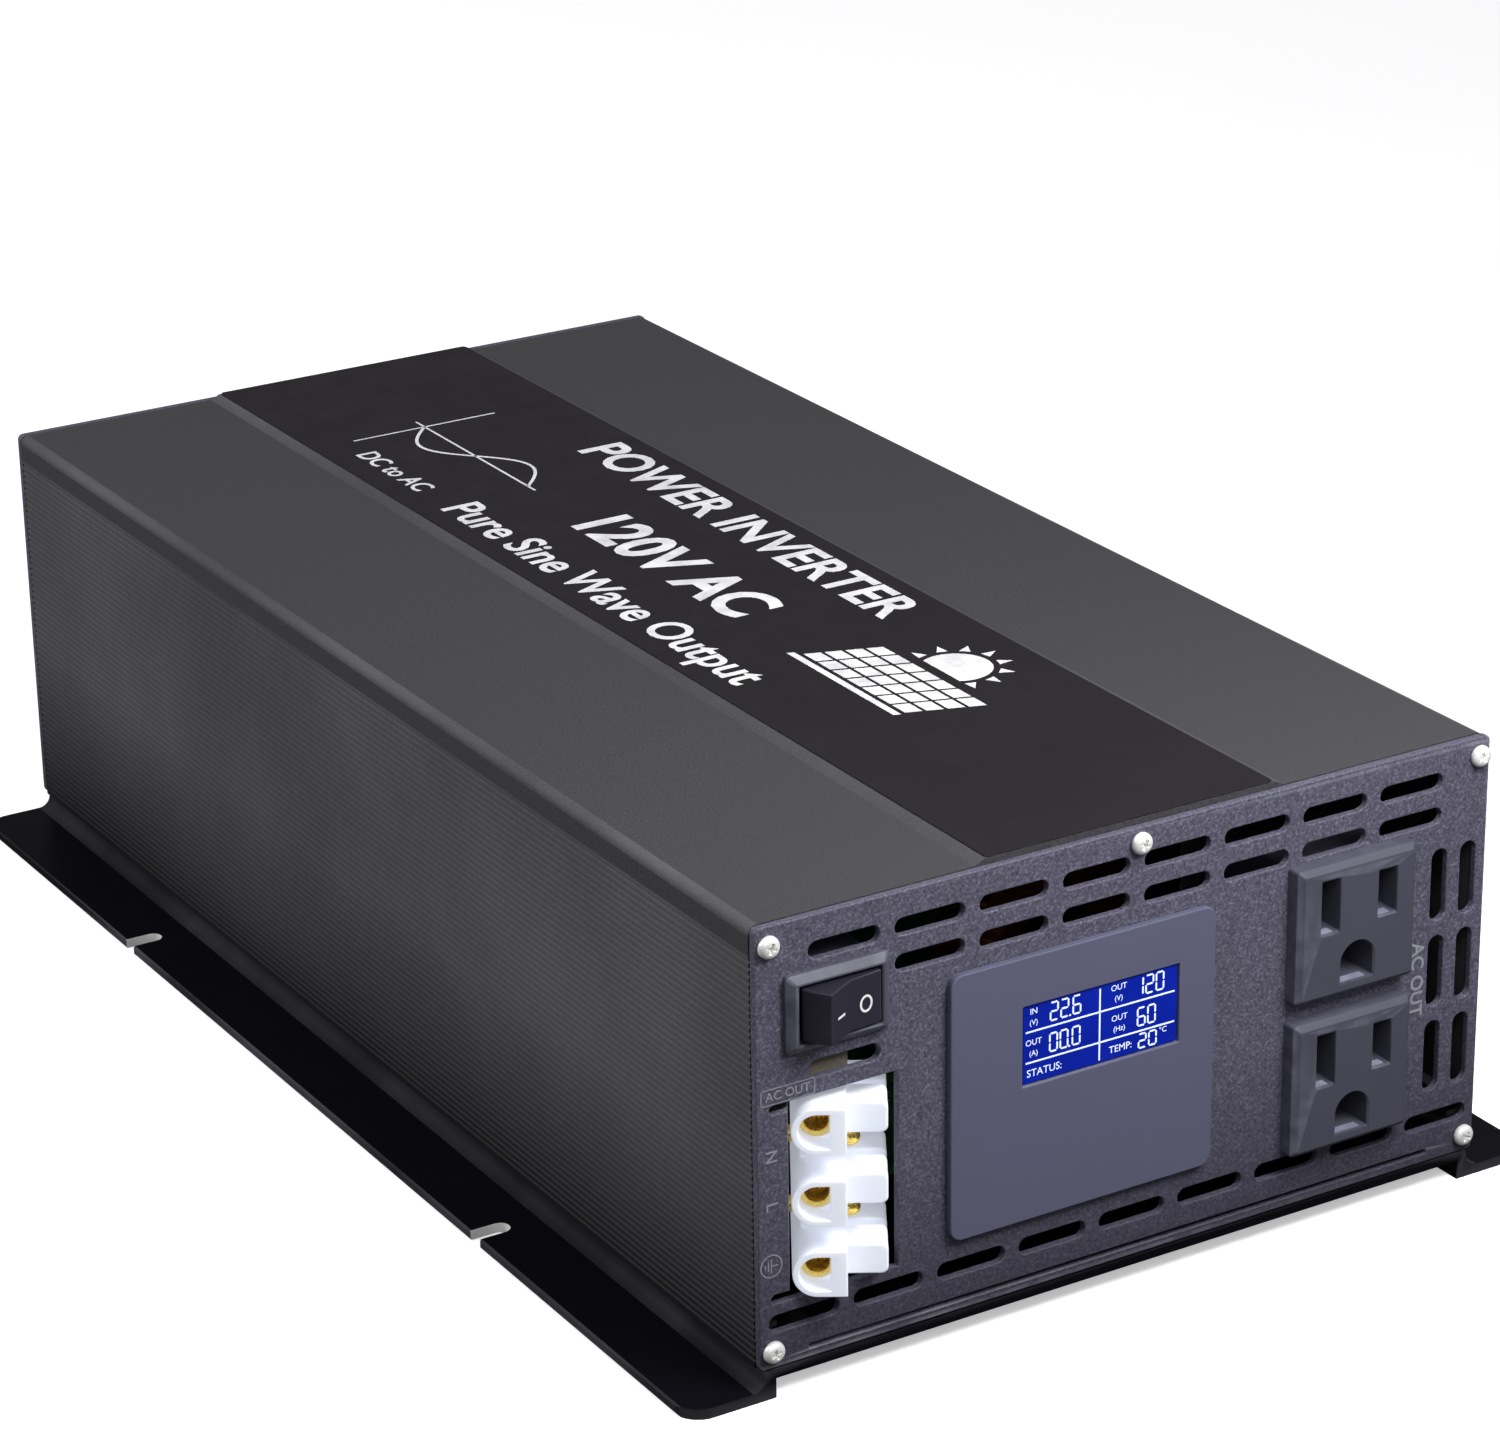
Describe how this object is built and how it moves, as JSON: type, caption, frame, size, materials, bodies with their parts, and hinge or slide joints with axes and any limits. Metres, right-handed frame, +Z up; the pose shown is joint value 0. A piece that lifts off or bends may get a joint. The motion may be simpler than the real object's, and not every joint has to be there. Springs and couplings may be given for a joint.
{
  "type": "power inverter",
  "caption": "Desktop battery-to-mains inverter: ribbed aluminium case on slotted flanges, front panel with display, rocker switch, terminal block and sockets, rear fan and studs.",
  "frame": {"origin": "on the ground under the centre of the bounding box", "axes": "+X to the right along the front panel, +Y from the front panel to the rear, +Z up"},
  "size_m": [0.184, 0.332, 0.0902],
  "materials": {
    "shell_black": "black anodised, finely ribbed",
    "base_black": "black anodised, satin",
    "panel_paint": "slate grey textured powder coat",
    "label_black": "satin black polyester film",
    "bright_steel": "bright nickel plate",
    "bezel_plastic": "smooth matt moulding",
    "lcd_glass": "blue backlit liquid crystal panel",
    "circuit_board": "solder mask",
    "black_plastic": "fine moulded texture",
    "rocker_plastic": "smooth moulding",
    "white_nylon": "translucent natural nylon",
    "zinc_steel": "zinc plated",
    "brass": "bare brass",
    "fibre_sheet": "vulcanised fibre sheet",
    "fan_plastic": "glass filled moulding",
    "red_plastic": "moulded insulator",
    "black_nylon": "moulded insulator",
    "ferrite": "sintered ferrite and tape",
    "bare_aluminium": "milled",
    "can_sleeve": "aluminium can in a blue-black sleeve",
    "copper_winding": "enamelled copper winding",
    "fuse_plastic": "transparent green blade fuses"
  },
  "bodies": {
    "case": {"top_shell": "shell_black", "base_tray": "base_black", "front_panel": "panel_paint", "rear_panel": "panel_paint", "label_film": "label_black", "front_screw_1": "bright_steel", "front_screw_2": "bright_steel", "front_screw_3": "bright_steel", "front_screw_4": "bright_steel", "front_screw_5": "bright_steel", "rear_screw_1": "bright_steel", "rear_screw_2": "bright_steel", "rear_screw_3": "bright_steel", "rear_screw_4": "bright_steel", "rear_screw_5": "bright_steel", "display_bezel": "bezel_plastic", "lcd_module": "lcd_glass", "display_board": "circuit_board", "switch_housing": "black_plastic", "outlet_upper": "black_plastic", "outlet_lower": "black_plastic", "terminal_block": "white_nylon", "terminal_bracket": "zinc_steel", "terminal_barrel_1": "brass", "terminal_barrel_2": "brass", "terminal_barrel_3": "brass", "terminal_mount_screw_1": "brass", "terminal_mount_screw_2": "brass", "insulation_sheet": "fibre_sheet", "fan_frame": "fan_plastic", "fan_guard": "bright_steel", "fan_screw_1": "bright_steel", "fan_screw_2": "bright_steel", "fan_screw_3": "bright_steel", "fan_screw_4": "bright_steel", "dc_insulator_positive": "red_plastic", "dc_insulator_negative": "black_nylon", "dc_stud_positive_1": "brass", "dc_stud_positive_2": "brass", "dc_stud_negative_1": "brass", "dc_stud_negative_2": "brass", "main_board": "circuit_board", "transformer_1": "ferrite", "transformer_2": "ferrite", "heat_sink_left": "bare_aluminium", "heat_sink_right": "bare_aluminium", "bus_capacitor_1": "can_sleeve", "bus_capacitor_2": "can_sleeve", "output_choke": "copper_winding", "control_board": "circuit_board", "fuse_bank": "fuse_plastic"},
    "rocker": {"switch_rocker": "rocker_plastic"},
    "fan": {"fan_rotor": "fan_plastic"},
    "clamp_screw_1": {"terminal_screw_1": "brass"},
    "clamp_screw_2": {"terminal_screw_2": "brass"},
    "clamp_screw_3": {"terminal_screw_3": "brass"},
    "nut_positive_1": {"dc_nut_positive_1": "brass"},
    "nut_positive_2": {"dc_nut_positive_2": "brass"},
    "nut_negative_1": {"dc_nut_negative_1": "brass"},
    "nut_negative_2": {"dc_nut_negative_2": "brass"}
  },
  "joints": [
    {"name": "rocker_tip", "type": "hinge", "parent": "case", "child": "rocker", "pos_m": [-0.062, -0.15885, 0.0721], "axis": [0, 0, 1], "range_deg": [-36.8, 0]},
    {"name": "fan_spin", "type": "hinge", "parent": "case", "child": "fan", "pos_m": [0, 0.13315, 0.0468], "axis": [0, 1, 0], "continuous": true},
    {"name": "clamp_screw_1_turn", "type": "hinge", "parent": "case", "child": "clamp_screw_1", "pos_m": [-0.06364, -0.15442, 0.04995], "axis": [0.8572, -0.515, 0], "range_deg": [-720, 90]},
    {"name": "clamp_screw_2_turn", "type": "hinge", "parent": "case", "child": "clamp_screw_2", "pos_m": [-0.06364, -0.15442, 0.03642], "axis": [0.8572, -0.515, 0], "range_deg": [-720, 90]},
    {"name": "clamp_screw_3_turn", "type": "hinge", "parent": "case", "child": "clamp_screw_3", "pos_m": [-0.06364, -0.15442, 0.02289], "axis": [0.8572, -0.515, 0], "range_deg": [-720, 90]},
    {"name": "nut_positive_1_turn", "type": "hinge", "parent": "case", "child": "nut_positive_1", "pos_m": [0.053, 0.15404, 0.0328], "axis": [0, 1, 0], "range_deg": [-720, 90]},
    {"name": "nut_positive_2_turn", "type": "hinge", "parent": "case", "child": "nut_positive_2", "pos_m": [0.053, 0.15404, 0.0608], "axis": [0, 1, 0], "range_deg": [-720, 90]},
    {"name": "nut_negative_1_turn", "type": "hinge", "parent": "case", "child": "nut_negative_1", "pos_m": [-0.053, 0.15404, 0.0328], "axis": [0, 1, 0], "range_deg": [-720, 90]},
    {"name": "nut_negative_2_turn", "type": "hinge", "parent": "case", "child": "nut_negative_2", "pos_m": [-0.053, 0.15404, 0.0608], "axis": [0, 1, 0], "range_deg": [-720, 90]}
  ]
}
